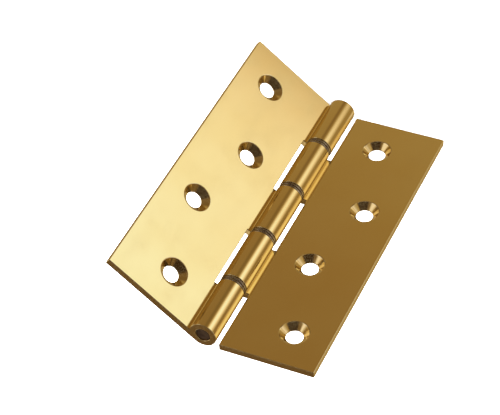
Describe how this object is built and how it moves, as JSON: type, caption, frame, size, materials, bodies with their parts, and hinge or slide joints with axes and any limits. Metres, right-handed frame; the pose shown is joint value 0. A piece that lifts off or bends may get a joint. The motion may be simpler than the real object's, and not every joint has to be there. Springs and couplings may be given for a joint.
{
  "type": "door hinge",
  "caption": "Polished brass butt hinge: two flat leaves with countersunk screw holes, joined by knuckles on a steel pin with steel washers between the knuckles.",
  "frame": {"origin": "on the pin's axis, half way up the hinge", "axes": "+Z along the pin, +X from the pin towards the free edge of the three-knuckle leaf, +Y out of the back of that leaf"},
  "size_m": [0.0617, 0.0241, 0.1016],
  "materials": {
    "polished_brass": "polished",
    "pin_steel": "satin",
    "washer_steel": "satin"
  },
  "bodies": {
    "fixed_leaf": {"three_knuckle_leaf": "polished_brass", "pin": "pin_steel"},
    "swinging_leaf": {"two_knuckle_leaf": "polished_brass"},
    "washer_1_upper": {"washer_1_upper": "washer_steel"},
    "washer_1_lower": {"washer_1_lower": "washer_steel"},
    "washer_2_upper": {"washer_2_upper": "washer_steel"},
    "washer_2_lower": {"washer_2_lower": "washer_steel"},
    "washer_3_upper": {"washer_3_upper": "washer_steel"},
    "washer_3_lower": {"washer_3_lower": "washer_steel"},
    "washer_4_upper": {"washer_4_upper": "washer_steel"},
    "washer_4_lower": {"washer_4_lower": "washer_steel"}
  },
  "joints": [
    {"name": "leaf_swing", "type": "hinge", "parent": "fixed_leaf", "child": "swinging_leaf", "pos_m": [0, 0, 0], "axis": [0, 0, 1], "range_deg": [-130, 140]},
    {"name": "washer_1_upper_spin", "type": "hinge", "parent": "fixed_leaf", "child": "washer_1_upper", "pos_m": [0, 0, 0], "axis": [0, 0, 1], "continuous": true},
    {"name": "washer_1_lower_spin", "type": "hinge", "parent": "fixed_leaf", "child": "washer_1_lower", "pos_m": [0, 0, 0], "axis": [0, 0, 1], "continuous": true},
    {"name": "washer_2_upper_spin", "type": "hinge", "parent": "fixed_leaf", "child": "washer_2_upper", "pos_m": [0, 0, 0], "axis": [0, 0, 1], "continuous": true},
    {"name": "washer_2_lower_spin", "type": "hinge", "parent": "fixed_leaf", "child": "washer_2_lower", "pos_m": [0, 0, 0], "axis": [0, 0, 1], "continuous": true},
    {"name": "washer_3_upper_spin", "type": "hinge", "parent": "fixed_leaf", "child": "washer_3_upper", "pos_m": [0, 0, 0], "axis": [0, 0, 1], "continuous": true},
    {"name": "washer_3_lower_spin", "type": "hinge", "parent": "fixed_leaf", "child": "washer_3_lower", "pos_m": [0, 0, 0], "axis": [0, 0, 1], "continuous": true},
    {"name": "washer_4_upper_spin", "type": "hinge", "parent": "fixed_leaf", "child": "washer_4_upper", "pos_m": [0, 0, 0], "axis": [0, 0, 1], "continuous": true},
    {"name": "washer_4_lower_spin", "type": "hinge", "parent": "fixed_leaf", "child": "washer_4_lower", "pos_m": [0, 0, 0], "axis": [0, 0, 1], "continuous": true}
  ]
}
